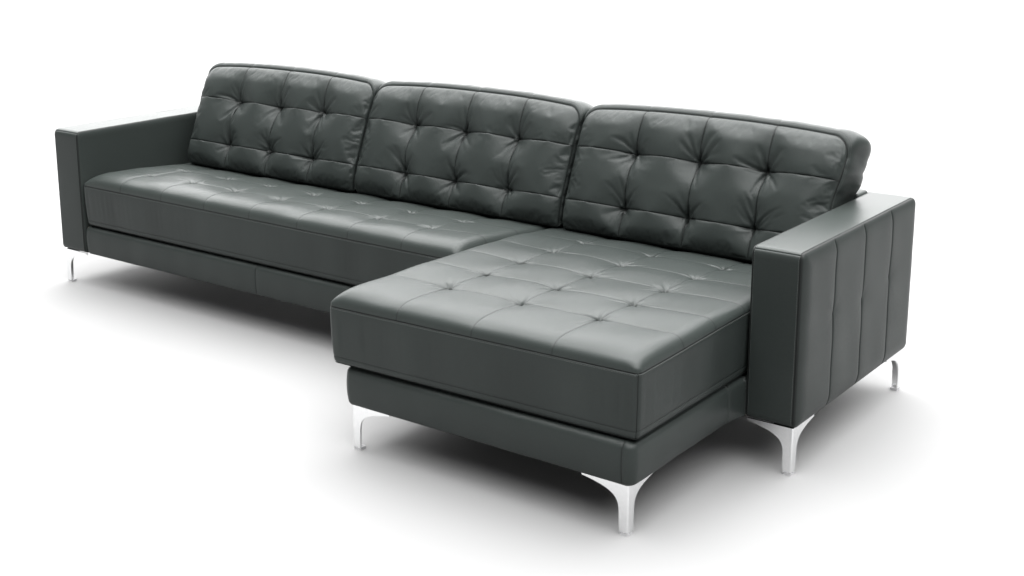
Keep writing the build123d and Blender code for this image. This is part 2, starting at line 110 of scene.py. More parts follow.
def leather_material(name, dark, mid, light, rough=0.43, grain=1.0):
    """Satin pigmented hide: fine pebble grain, pores, soft colour drift, and painted shading from a vertex attribute:
    painted shade in seams, tufts and creases, painted light on tops and seam lips.
    """
    m, nt, b = new_mat(name)
    tc = nt.nodes.new("ShaderNodeTexCoord")
    cloud = node(nt, "ShaderNodeTexNoise", Scale=3.2, Detail=3.0, Roughness=0.55)
    link(nt, tc.outputs["Object"], cloud.inputs["Vector"])
    fine = node(nt, "ShaderNodeTexNoise", Scale=140.0, Detail=3.0, Roughness=0.6)
    link(nt, tc.outputs["Object"], fine.inputs["Vector"])
    painted_shading = nt.nodes.new("ShaderNodeAttribute")
    painted_shading.attribute_name = "painted_shading"
    # painted shading: 0 in seams and tufts (painted shade), about 0.5 on plain hide, towards 1 on seam lips (painted
    # highlight); tops and inner arm faces painted paler, fronts and ends darker
    s1 = nt.nodes.new("ShaderNodeMath"); s1.operation = "MULTIPLY_ADD"
    link(nt, cloud.outputs["Fac"], s1.inputs[0]); s1.inputs[1].default_value = 0.22; s1.inputs[2].default_value = -0.11
    s2 = nt.nodes.new("ShaderNodeMath"); s2.operation = "MULTIPLY_ADD"
    link(nt, fine.outputs["Fac"], s2.inputs[0]); s2.inputs[1].default_value = 0.16
    link(nt, s1.outputs[0], s2.inputs[2])
    s3 = nt.nodes.new("ShaderNodeMath"); s3.operation = "ADD"; s3.use_clamp = True
    link(nt, painted_shading.outputs["Fac"], s3.inputs[0]); link(nt, s2.outputs[0], s3.inputs[1])
    col = ramp(nt, [(0.0, dark), (0.55, mid), (1.0, light)])
    link(nt, s3.outputs[0], col.inputs["Fac"])
    link(nt, col.outputs["Color"], b.inputs["Base Color"])
    # grain: pebbles from two cell sizes, with hair pores
    v1 = node(nt, "ShaderNodeTexVoronoi", Scale=520.0, Randomness=1.0)
    v1.feature = "DISTANCE_TO_EDGE"
    v2 = node(nt, "ShaderNodeTexVoronoi", Scale=260.0, Randomness=1.0)
    v2.feature = "SMOOTH_F1"
    warp = node(nt, "ShaderNodeTexNoise", Scale=60.0, Detail=2.0)
    link(nt, tc.outputs["Object"], warp.inputs["Vector"])
    mixv = nt.nodes.new("ShaderNodeMixRGB"); mixv.blend_type = "ADD"; mixv.inputs["Fac"].default_value = 0.006
    link(nt, tc.outputs["Object"], mixv.inputs["Color1"]); link(nt, warp.outputs["Color"], mixv.inputs["Color2"])
    link(nt, mixv.outputs["Color"], v1.inputs["Vector"]); link(nt, mixv.outputs["Color"], v2.inputs["Vector"])
    g1 = ramp(nt, [(0.0, (0, 0, 0)), (0.22, (0.75, 0.75, 0.75)), (1.0, (1, 1, 1))])
    link(nt, v1.outputs["Distance"], g1.inputs["Fac"])
    h = nt.nodes.new("ShaderNodeMath"); h.operation = "MULTIPLY_ADD"; h.inputs[1].default_value = -0.5
    link(nt, v2.outputs["Distance"], h.inputs[0]); link(nt, g1.outputs["Color"], h.inputs[2])
    h2 = nt.nodes.new("ShaderNodeMath"); h2.operation = "MULTIPLY_ADD"; h2.inputs[1].default_value = 0.9
    link(nt, fine.outputs["Fac"], h2.inputs[0]); link(nt, h.outputs[0], h2.inputs[2])
    bump = nt.nodes.new("ShaderNodeBump")
    bump.inputs["Strength"].default_value = 0.16 * grain
    bump.inputs["Distance"].default_value = 0.0006
    link(nt, h2.outputs[0], bump.inputs["Height"])
    link(nt, bump.outputs["Normal"], b.inputs["Normal"])
    # gloss varies with the clouds and drops inside the folds
    rr = nt.nodes.new("ShaderNodeMapRange")
    rr.inputs["From Min"].default_value = 0.15; rr.inputs["From Max"].default_value = 0.95
    rr.inputs["To Min"].default_value = rough + 0.10; rr.inputs["To Max"].default_value = rough - 0.05
    link(nt, s3.outputs[0], rr.inputs["Value"])
    link(nt, rr.outputs["Result"], b.inputs["Roughness"])
    b.inputs["Specular IOR Level"].default_value = 0.21
    b.inputs["Coat Weight"].default_value = 0.0
    b.inputs["Coat Roughness"].default_value = 0.30
    return m


LEATHER = leather_material("hide_dark_grey", (0.0046, 0.0055, 0.0052), (0.0212, 0.0258, 0.0243), (0.0359, 0.0423, 0.0396), rough=0.38)


def chrome_material():
    m, nt, b = new_mat("chrome")
    tc = nt.nodes.new("ShaderNodeTexCoord")
    n = node(nt, "ShaderNodeTexNoise", Scale=90.0, Detail=4.0, Roughness=0.6)
    link(nt, tc.outputs["Object"], n.inputs["Vector"])
    r = nt.nodes.new("ShaderNodeMapRange")
    r.inputs["To Min"].default_value = 0.05; r.inputs["To Max"].default_value = 0.15
    link(nt, n.outputs["Fac"], r.inputs["Value"]); link(nt, r.outputs["Result"], b.inputs["Roughness"])
    c = ramp(nt, [(0.3, (0.86, 0.865, 0.87)), (0.8, (0.93, 0.932, 0.935))])
    link(nt, n.outputs["Fac"], c.inputs["Fac"]); link(nt, c.outputs["Color"], b.inputs["Base Color"])
    b.inputs["Metallic"].default_value = 1.0
    return m


def plain_material(name, c0, c1, scale, rough0, rough1, bump=0.0, metallic=0.0, stretch=None, bump_dist=0.0005):
    """Two-tone noise finish with matching roughness and bump; stretch gives a direction to the grain."""
    m, nt, b = new_mat(name)
    tc = nt.nodes.new("ShaderNodeTexCoord")
    src = tc.outputs["Object"]
    if stretch:
        mp = nt.nodes.new("ShaderNodeMapping")
        mp.inputs["Scale"].default_value = stretch
        link(nt, src, mp.inputs["Vector"])
        src = mp.outputs["Vector"]
    n = node(nt, "ShaderNodeTexNoise", Scale=scale, Detail=5.0, Roughness=0.62)
    link(nt, src, n.inputs["Vector"])
    c = ramp(nt, [(0.30, c0), (0.72, c1)])
    link(nt, n.outputs["Fac"], c.inputs["Fac"]); link(nt, c.outputs["Color"], b.inputs["Base Color"])
    r = nt.nodes.new("ShaderNodeMapRange")
    r.inputs["To Min"].default_value = rough0; r.inputs["To Max"].default_value = rough1
    link(nt, n.outputs["Fac"], r.inputs["Value"]); link(nt, r.outputs["Result"], b.inputs["Roughness"])
    b.inputs["Metallic"].default_value = metallic
    if bump:
        bp = nt.nodes.new("ShaderNodeBump")
        bp.inputs["Strength"].default_value = bump; bp.inputs["Distance"].default_value = bump_dist
        link(nt, n.outputs["Fac"], bp.inputs["Height"]); link(nt, bp.outputs["Normal"], b.inputs["Normal"])
    return m


def woven_material(name, c0, c1, scale):
    m, nt, b = new_mat(name)
    tc = nt.nodes.new("ShaderNodeTexCoord")
    w1 = node(nt, "ShaderNodeTexWave", Scale=scale, Distortion=0.6, Detail=1.0); w1.bands_direction = "X"
    w2 = node(nt, "ShaderNodeTexWave", Scale=scale, Distortion=0.6, Detail=1.0); w2.bands_direction = "Y"
    for w in (w1, w2):
        link(nt, tc.outputs["Object"], w.inputs["Vector"])
    mx = nt.nodes.new("ShaderNodeMath"); mx.operation = "MAXIMUM"
    link(nt, w1.outputs["Fac"], mx.inputs[0]); link(nt, w2.outputs["Fac"], mx.inputs[1])
    c = ramp(nt, [(0.2, c0), (0.9, c1)])
    link(nt, mx.outputs[0], c.inputs["Fac"]); link(nt, c.outputs["Color"], b.inputs["Base Color"])
    bp = nt.nodes.new("ShaderNodeBump")
    bp.inputs["Strength"].default_value = 0.4; bp.inputs["Distance"].default_value = 0.0006
    link(nt, mx.outputs[0], bp.inputs["Height"]); link(nt, bp.outputs["Normal"], b.inputs["Normal"])
    b.inputs["Roughness"].default_value = 0.88
    return m


CHROME = chrome_material()
TIMBER = plain_material("softwood", (0.42, 0.28, 0.15), (0.66, 0.49, 0.30), 14.0, 0.55, 0.72, 0.25, stretch=(1.0, 14.0, 14.0))
FOAM = plain_material("foam", (0.70, 0.62, 0.42), (0.84, 0.78, 0.60), 420.0, 0.88, 0.98, 0.5)
TWINE = plain_material("twine", (0.55, 0.50, 0.42), (0.78, 0.74, 0.66), 600.0, 0.75, 0.9, 0.4)
STEEL = plain_material("zinc_steel", (0.50, 0.51, 0.52), (0.70, 0.71, 0.72), 160.0, 0.28, 0.46, 0.06, metallic=1.0)
BLACK = plain_material("black_plastic", (0.018, 0.018, 0.019), (0.035, 0.035, 0.036), 380.0, 0.48, 0.62, 0.12)
NYLON = plain_material("nylon_glide", (0.36, 0.36, 0.37), (0.52, 0.52, 0.53), 300.0, 0.5, 0.7, 0.1)
WEBBING = woven_material("elastic_webbing", (0.015, 0.015, 0.017), (0.06, 0.06, 0.065), 900.0)
LINING = woven_material("black_lining", (0.008, 0.008, 0.008), (0.03, 0.03, 0.03), 1400.0)
THREAD = plain_material("thread", (0.030, 0.034, 0.032), (0.075, 0.082, 0.078), 900.0, 0.5, 0.7, 0.3)

SLOT_MAT = {"leather": LEATHER, "chrome": CHROME, "timber": TIMBER, "foam": FOAM, "twine": TWINE, "steel": STEEL,
            "support": BLACK, "glide": NYLON, "webbing": WEBBING, "lining": LINING}
for sp in frame["record"]["subparts"]:
    ob = frame["nodes"][sp["node"]]
    mat = SLOT_MAT[sp["material_slot"]]
    if not ob.material_slots:
        ob.data.materials.append(mat)
    for s in ob.material_slots:
        s.material = mat


# =====================================================================
# mesh helpers
# =====================================================================
def make_object(name, verts, faces, mat, painted_shading=None, smooth=True):
    me = bpy.data.meshes.new(name)
    me.from_pydata([tuple(v) for v in np.asarray(verts, float)], [], [tuple(f) for f in faces])
    me.validate()
    me.update()
    if smooth:
        me.polygons.foreach_set("use_smooth", [True] * len(me.polygons))
    if painted_shading is not None:
        at = me.attributes.new("painted_shading", "FLOAT", "POINT")
        at.data.foreach_set("value", np.asarray(painted_shading, np.float32))
    me.materials.append(mat)
    ob = bpy.data.objects.new(name, me)
    bpy.context.collection.objects.link(ob)
    return ob


def spaced(lo, hi, seams=(), step=0.007, edge=(0.0002, 0.0008, 0.0024, 0.0055, 0.0105), near=(0.0014, 0.0045)):
    """Grid positions from lo to hi: dense at both edges and on both sides of each seam."""
    k = [lo] + [lo + e for e in edge] + [hi - e for e in edge] + [hi]
    for s in seams:
        k += [s] + [s - n for n in near] + [s + n for n in near]
    k = sorted(k)
    out = [k[0]]
    for a, b in zip(k, k[1:]):
        n = max(1, int(math.ceil((b - a) / step - 1e-6)))
        out += [a + (b - a) * i / n for i in range(1, n + 1)]
    return np.array(out)


def smooth01(t):
    t = np.clip(t, 0, 1)
    return t * t * (3 - 2 * t)


def corner_radius(py, r):
    """One radius, or a pair: lower corners, upper corners."""
    return np.where(py > 0, r[1], r[0]) if isinstance(r, tuple) else r


def round_rect(x, y, rect, r):
    """Moves the points of a rectangular grid so that its corners become arcs of radius r."""
    x0, x1, y0, y1 = rect
    mx, my, a, b = (x0 + x1) / 2, (y0 + y1) / 2, (x1 - x0) / 2, (y1 - y0) / 2
    px, py = x - mx, y - my
    r = corner_radius(py, r)
    dx = np.clip((np.abs(px) - (a - r)) / r, 0, 1)
    dy = np.clip((np.abs(py) - (b - r)) / r, 0, 1)
    qx = np.sign(px) * (np.minimum(np.abs(px), a - r) + r * dx * np.sqrt(1 - dy * dy / 2))
    qy = np.sign(py) * (np.minimum(np.abs(py), b - r) + r * dy * np.sqrt(1 - dx * dx / 2))
    return qx + mx, qy + my


def corner_terms(x, y, rect, r):
    x0, x1, y0, y1 = rect
    mx, my, a, b = (x0 + x1) / 2, (y0 + y1) / 2, (x1 - x0) / 2, (y1 - y0) / 2
    r = corner_radius(y - my, r)
    return np.sign(x - mx), np.sign(y - my), np.abs(x - mx) - (a - r), np.abs(y - my) - (b - r), r


def edge_distance(x, y, rect, r):
    sx, sy, ax, ay, r = corner_terms(x, y, rect, r)
    corner = (ax > 0) & (ay > 0)
    return np.where(corner, r - np.hypot(np.maximum(ax, 0), np.maximum(ay, 0)), np.minimum(r - ax, r - ay))


def edge_normal(x, y, rect, r):
    sx, sy, ax, ay, r = corner_terms(x, y, rect, r)
    c = (ax > 0) & (ay > 0)
    h = np.hypot(ax, ay) + 1e-9
    nx = np.where(c, sx * ax / h, np.where(ax > ay, sx, 0.0))
    ny = np.where(c, sy * ay / h, np.where(ax > ay, 0.0, sy))
    return nx, ny


class Ring:
    """What the boxing rows know about the seam loop: place along it, plan place, outward direction, corners."""

    def __init__(self, pos, total, x, y, nx, ny, corners):
        self.pos, self.total, self.x, self.y, self.nx, self.ny, self.corners = pos, total, x, y, nx, ny, corners
        self.zero = np.zeros_like(pos)

    def from_corner(self, k):
        d = np.abs(self.pos - self.corners[k])
        return np.minimum(d, self.total - d)

    def noise(self, gen, size):
        """Smooth closed noise along the loop, about 1 in size, with features about `size` long."""
        n = max(6, int(self.total / size))
        v = gen.normal(0, 1, n)
        t = self.pos / self.total * n
        i = np.floor(t).astype(int)
        f = smooth01(t - i)
        return v[i % n] * (1 - f) + v[(i + 1) % n] * f


class Slab:
    """A closed upholstered block: a face towards N, a boxing strip all round and a face away from N."""

    def __init__(self, name, origin, U, V, N, rect, radius, us, vs, front, back, rows, back_rect=None,
                 back_radius=None, groove=0.0032, seam_painted_shade=0.06, seam_rings=1):
        self.name = name
        O, U, V, N = (np.asarray(q, float) for q in (origin, U, V, N))
        nu, nv = len(us), len(vs)
        gx, gy = np.meshgrid(us, vs, indexing="ij")
        fx, fy = round_rect(gx, gy, rect, radius)
        fe = edge_distance(fx, fy, rect, radius)
        bx0, bx1, by0, by1 = back_rect or rect
        br = back_radius or radius
        x0, x1, y0, y1 = rect
        hx = bx0 + (gx - x0) * (bx1 - bx0) / (x1 - x0)
        hy = by0 + (gy - y0) * (by1 - by0) / (y1 - y0)
        hx, hy = round_rect(hx, hy, (bx0, bx1, by0, by1), br)
        he = edge_distance(hx, hy, (bx0, bx1, by0, by1), br)
        fd, fw = front(fx, fy, fe)
        bd, bw = back(hx, hy, he)
        P = lambda a, b, d: O + a[..., None] * U + b[..., None] * V + d[..., None] * N
        F, B = P(fx, fy, fd), P(hx, hy, bd)
        loop = [(i, 0) for i in range(nu - 1)] + [(nu - 1, j) for j in range(nv - 1)] + \
               [(i, nv - 1) for i in range(nu - 1, 0, -1)] + [(0, j) for j in range(nv - 1, 0, -1)]
        li = np.array([p[0] for p in loop]); lj = np.array([p[1] for p in loop])
        lx, ly = fx[li, lj], fy[li, lj]
        nx, ny = edge_normal(lx, ly, rect, radius)
        n3 = nx[:, None] * U + ny[:, None] * V
        Lf, Lb = F[li, lj].copy(), B[li, lj].copy()
        seg = np.hypot(np.diff(lx, append=lx[0]), np.diff(ly, append=ly[0]))
        pos = np.concatenate([[0], np.cumsum(seg)[:-1]])
        cor = [pos[0], pos[nu - 1], pos[nu + nv - 2], pos[2 * nu + nv - 3]]
        ring = Ring(pos, seg.sum(), lx, ly, nx, ny, cor)
        # seam grooves along both edges of the boxing
        F[li, lj] -= groove * (0.8 * n3 + 0.45 * N)
        B[li, lj] -= groove * (0.8 * n3 - 0.45 * N)
        verts = [F.reshape(-1, 3)]
        painted_shading_rows = [fw.reshape(-1)]
        idx_f = np.arange(nu * nv).reshape(nu, nv)
        start = nu * nv
        loops = [idx_f[li, lj]]
        L = len(loop)
        for s, row in rows:
            off, w = row(ring, s)
            s_ = np.full(L, s)[:, None]
            verts.append(Lf * (1 - s_) + Lb * s_ + n3 * np.broadcast_to(off, (L,))[:, None])
            painted_shading_rows.append(np.broadcast_to(w, (L,)))
            loops.append(np.arange(start, start + L)); start += L
        idx_b = start + np.arange(nu * nv).reshape(nu, nv)
        verts.append(B.reshape(-1, 3)); painted_shading_rows.append(bw.reshape(-1))
        loops.append(idx_b[li, lj])
        f = []
        f.append(np.stack([idx_f[:-1, :-1], idx_f[1:, :-1], idx_f[1:, 1:], idx_f[:-1, 1:]], -1).reshape(-1, 4))
        f.append(np.stack([idx_b[:-1, :-1], idx_b[:-1, 1:], idx_b[1:, 1:], idx_b[1:, :-1]], -1).reshape(-1, 4))
        for a, b in zip(loops, loops[1:]):
            f.append(np.stack([a, b, np.roll(b, -1), np.roll(a, -1)], -1))
        self.verts = np.concatenate(verts)
        self.faces = np.concatenate(f)
        self.painted_shading = np.array(np.concatenate(painted_shading_rows))
        # painted shade: the seam loops and the rings of hide beside them are painted dark, for the shade in the seam
        # grooves
        self.painted_shading[idx_f[li, lj]] = 0.0
        self.painted_shading[idx_b[li, lj]] = 0.0
        if seam_painted_shade is not None:
            for idx in (idx_f, idx_b):
                for k in range(1, seam_rings + 1):
                    ring1 = np.concatenate([idx[k, k:-k], idx[-1 - k, k:-k], idx[k:-k, k], idx[k:-k, -1 - k]])
                    self.painted_shading[ring1] = np.minimum(self.painted_shading[ring1], seam_painted_shade)
            self.painted_shading[loops[1]] = np.minimum(self.painted_shading[loops[1]], seam_painted_shade)
            self.painted_shading[loops[-2]] = np.minimum(self.painted_shading[loops[-2]], seam_painted_shade)
        self.idx_f, self.idx_b, self.loops = idx_f, idx_b, loops
        self.front_xy = (fx, fy, fe)
        self.n3, self.N = n3, N

    def build(self, mat=None):
        self.ob = make_object(self.name, self.verts, self.faces, mat or LEATHER, self.painted_shading)
        return self.ob


def quarter(e, reach):
    """Rises from 0 at the seam to 1 at reach, like the edge of a padded panel."""
    t = np.clip(e / reach, 0, 1)
    return np.sqrt(np.maximum(0, 1 - (1 - t) ** 2))


def shoulder(e, reach):
    """Stays upright above the seam for longer than quarter() and then turns over more tightly."""
    t = np.clip(e / reach, 0, 1)
    return np.maximum(0, 1 - (1 - t) ** 2.9) ** (1 / 2.9)


def near_tuft(x, y, tufts, reach):
    b = np.zeros_like(x)
    for tx, ty in tufts:
        b = np.maximum(b, np.exp(-np.hypot(x - tx, y - ty) / reach))
    return b


def seam_lines(x, y, cols, rows, line, valley, width, boost, base=0.25, wide=0.0016):
    """Stitched seams: a fine sharp line, and a soft valley that deepens near the tufts (boost 0..1)."""
    d, ln = np.zeros_like(x), np.zeros_like(x)
    for q in [np.abs(x - s) for s in cols] + [np.abs(y - s) for s in rows]:
        d = np.maximum(d, valley * (base + (1 - base) * boost) * np.exp(-q / width))
        ln = np.maximum(ln, np.exp(-(q / wide) ** 1.5))
    return d + line * ln, ln


def tuft_dimples(x, y, tufts, broad, r_broad, pinch, r_pinch, power=1.3):
    d = np.zeros_like(x)
    for tx, ty in tufts:
        r = np.hypot(x - tx, y - ty)
        d += broad * np.exp(-(r / r_broad) ** power) + pinch * np.exp(-r / r_pinch)
    return d


def tuft_folds(x, y, tufts, amp, length, width, count, gen, pick):
    """Short folds that fan out from each tuft; pick(gen) draws each fold's direction."""
    h = np.zeros_like(x)
    for tx, ty in tufts:
        dx, dy = x - tx, y - ty
        r = np.hypot(dx, dy)
        m = r < length * 3.0
        rr, th = r[m], np.arctan2(dy, dx)[m]
        acc = np.zeros_like(rr)
        for k in range(count):
            a = pick(gen, k, count)
            L = length * gen.uniform(0.5, 1.3)
            w = width * gen.uniform(0.7, 1.4)
            s = amp * gen.uniform(0.35, 1.0) * (1 if gen.random() < 0.42 else -1)
            bend = gen.uniform(-0.35, 0.35)
            da = np.angle(np.exp(1j * (th - a - bend * rr / 0.1)))
            side = np.sin(da) * rr
            g = np.exp(-(side / (w * (0.5 + 0.6 * rr / length))) ** 2) * (np.cos(da) > 0)
            acc += s * g * smooth01(rr / 0.010) * np.exp(-(rr / L) ** 2)
        h[m] += acc
    return h


def tuft_creases(x, y, tufts, amp, length, width, count, gen, pick):
    """Sharp pleats that run out of each tuft between soft ridges."""
    h = np.zeros_like(x)
    for tx, ty in tufts:
        dx, dy = x - tx, y - ty
        r = np.hypot(dx, dy)
        m = r < length * 3.2
        rr, th = r[m], np.arctan2(dy, dx)[m]
        acc = np.zeros_like(rr)
        for k in range(count):
            a = pick(gen, k, count)
            L = length * gen.uniform(0.55, 1.35)
            w = width * gen.uniform(0.75, 1.3)
            s = amp * gen.uniform(0.45, 1.0)
            bend = gen.uniform(-0.45, 0.45)
            da = np.angle(np.exp(1j * (th - a - bend * rr / 0.1)))
            side = np.abs(np.sin(da)) * rr
            spread = w * (0.55 + 0.5 * rr / L)
            g = (np.exp(-side / spread) - 0.55 * np.exp(-((side - 2.1 * spread) / (1.1 * spread)) ** 2)) * (np.cos(da) > 0)
            acc -= s * g * smooth01(rr / 0.008) * np.exp(-(rr / L) ** 1.6)
        h[m] += acc
    return h


def pick_all(gen, k, n):
    return (k + gen.uniform(-0.4, 0.4)) / n * 2 * math.pi


def pick_updown(gen, k, n):
    return math.pi / 2 + gen.normal(0, 0.62) if gen.random() < 0.6 else -math.pi / 2 + gen.normal(0, 0.62)


def domes(x, y, cols, rows, rect, height, gen, power=0.75):
    cx, cy = [rect[0]] + list(cols) + [rect[1]], [rect[2]] + list(rows) + [rect[3]]
    out = np.zeros_like(x)
    for a, b in zip(cx, cx[1:]):
        for c, d in zip(cy, cy[1:]):
            k = height * gen.uniform(0.85, 1.15)
            u, v = np.clip((x - a) / (b - a), 0, 1), np.clip((y - c) / (d - c), 0, 1)
            out += k * (np.sin(np.pi * u) * np.sin(np.pi * v)) ** power * ((x >= a) & (x < b) & (y >= c) & (y < d))
    return out


def drift(x, y, gen, amp, size, n=10):
    """Slow, seeded unevenness of a hand-filled panel."""
    h = np.zeros_like(x)
    for _ in range(n):
        a = gen.uniform(0, 2 * math.pi); k = 2 * math.pi / (size * gen.uniform(0.6, 1.8)); p = gen.uniform(0, 2 * math.pi)
        h += np.cos(k * (np.cos(a) * x + np.sin(a) * y) + p)
    return amp * h / math.sqrt(n)


def finish_piece(ob, body, nodes):
    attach(ob, body)
    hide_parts(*nodes)


# =====================================================================
# top stitching beside the seams
# =====================================================================
STITCHES = {}


def stitch_loop(body, pts, nrm, pitch=0.0072, length=0.0052, width=0.0012):
    """A closed row of single stitches along pts, proud of the hide in their middle and sunk at both ends."""
    q = np.vstack([pts, pts[:1]])
    s = np.concatenate([[0], np.cumsum(np.linalg.norm(np.diff(q, axis=0), axis=1))])
    n = int(s[-1] / pitch)
    nn = np.vstack([nrm, nrm[:1]])
    at = lambda t, a: np.column_stack([np.interp(t % s[-1], s, a[:, k]) for k in range(3)])
    mid = (np.arange(n) + 0.5) * s[-1] / n
    a, m, b = at(mid - length / 2, q), at(mid, q), at(mid + length / 2, q)
    up = at(mid, nn)
    up /= np.linalg.norm(up, axis=1)[:, None] + 1e-12
    t = (b - a) / (np.linalg.norm(b - a, axis=1)[:, None] + 1e-12)
    side = np.cross(up, t)
    verts = []
    for c, h, w in ((a, -0.0003, 0.7), (a * 0.6 + m * 0.4, 0.0005, 1.0), (m, 0.0007, 1.0), (b * 0.6 + m * 0.4, 0.0005, 1.0), (b, -0.0003, 0.7)):
        for sx, sz in ((-1, 0.0), (-0.6, 1.0), (0.6, 1.0), (1, 0.0)):
            verts.append(c + side * (sx * w * width / 2) + up * (h + (sz - 1) * 0.0006))
    verts = np.stack(verts, 1)
    cell = []
    for k in range(4):
        o = 4 * k
        cell += [(o + i, o + i + 1, o + i + 5, o + i + 4) for i in range(3)] + [(o + 3, o, o + 4, o + 7)]
    cell += [(3, 2, 1, 0), (16, 17, 18, 19)]
    faces = (np.array(cell)[None] + 20 * np.arange(n)[:, None, None]).reshape(-1, 4)
    STITCHES.setdefault(body, []).append((verts.reshape(-1, 3), faces))


def sew_all():
    for body, parts in STITCHES.items():
        base, vs, fs = 0, [], []
        for v, f in parts:
            vs.append(v); fs.append(f + base); base += len(v)
        ob = make_object(f"{body}_stitches", np.concatenate(vs), np.concatenate(fs), THREAD)
        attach(ob, body)


# =====================================================================
# cloth: spare hide in a panel buckles into folds between its fixings
# =====================================================================
def settle(sl, hold, ease, frames, pressure, spare, bend, stiff, cap):
    """Runs the front panel as cloth with spare hide over a little inner pressure; hold marks what is stitched down,
    ease how far the hide follows the cloth."""
    nu, nv = sl.idx_f.shape
    ids = sl.idx_f.reshape(-1)
    start = sl.verts[ids].copy()
    g = np.arange(nu * nv).reshape(nu, nv)
    quads = np.stack([g[:-1, :-1], g[1:, :-1], g[1:, 1:], g[:-1, 1:]], -1).reshape(-1, 4)
    ob = make_object("panel", start, quads, LEATHER)
    vg = ob.vertex_groups.new(name="hold")
    vg.add(np.nonzero(hold.reshape(-1))[0].tolist(), 1.0, "REPLACE")
    mod = ob.modifiers.new("settle", "CLOTH")
    c = mod.settings
    c.quality = 4
    c.mass = 0.25
    c.air_damping = 4
    c.tension_stiffness = c.compression_stiffness = stiff
    c.shear_stiffness = stiff * 0.5
    c.tension_damping = c.compression_damping = 6
    c.shear_damping = 6
    c.bending_stiffness = bend
    c.bending_damping = 0.8
    c.use_pressure = True
    c.uniform_pressure_force = pressure
    c.vertex_group_mass = "hold"
    c.shrink_min = -spare
    c.effector_weights.gravity = 0
    mod.collision_settings.use_collision = False
    mod.collision_settings.use_self_collision = False
    mod.point_cache.frame_start, mod.point_cache.frame_end = 1, frames
    sc = bpy.context.scene
    for f in range(1, frames + 1):
        sc.frame_set(f)
    ev = ob.evaluated_get(bpy.context.evaluated_depsgraph_get())
    co = np.empty(nu * nv * 3, np.float32)
    ev.data.vertices.foreach_get("co", co)
    sc.frame_set(1)
    me = ob.data
    bpy.data.objects.remove(ob, do_unlink=True)
    bpy.data.meshes.remove(me)
    d = co.reshape(-1, 3).astype(float) - start
    n = np.linalg.norm(d, axis=1)
    d *= np.minimum(1.0, cap / np.maximum(n, 1e-9))[:, None]
    sl.verts[ids] = start + d * ease.reshape(-1)[:, None]
    print("panel settled: mean", round(float(n.mean()) * 1000, 2), "mm, most", round(float(n.max()) * 1000, 2), "mm")


# =====================================================================
# back cushions
# =====================================================================
REC = math.radians(22)
c22, s22 = math.cos(REC), math.sin(REC)
fy0 = 545.0 - 25.0 / c22 + (452.0 - 533.0) * math.tan(REC)


